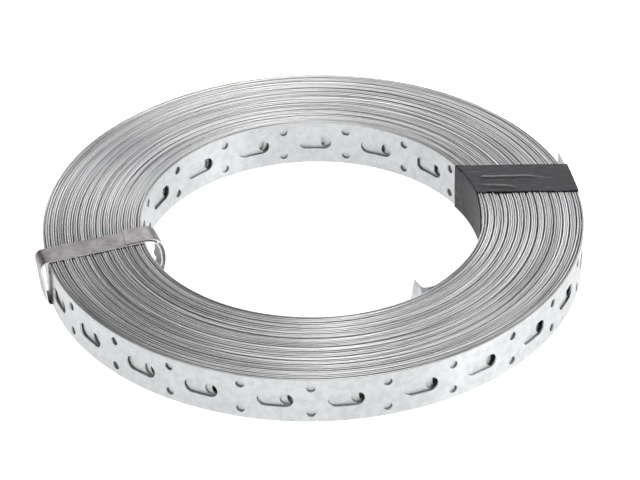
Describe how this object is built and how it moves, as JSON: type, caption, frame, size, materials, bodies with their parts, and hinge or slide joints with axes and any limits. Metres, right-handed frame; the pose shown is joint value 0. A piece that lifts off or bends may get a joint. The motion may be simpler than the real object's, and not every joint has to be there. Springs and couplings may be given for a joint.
{
  "type": "perforated metal strap roll",
  "caption": "Roll of galvanised perforated steel strap, wound flat and held by a steel band tie and a wrap of black tape.",
  "frame": {"origin": "axis of the roll at the plane that it rests on", "axes": "+Z along the axis of the roll, upwards"},
  "size_m": [0.2215, 0.22, 0.0217],
  "materials": {
    "galvanised_strap": "zinc-coated strap with a dull sheen and bright sheared edges",
    "tie_steel": "plain grey steel band, lightly worn",
    "black_tape": "wrinkled black plastic tape, dull"
  },
  "bodies": {
    "root": {"strap_coil": "galvanised_strap", "steel_tie": "tie_steel", "tape_wrap": "black_tape"}
  },
  "joints": []
}
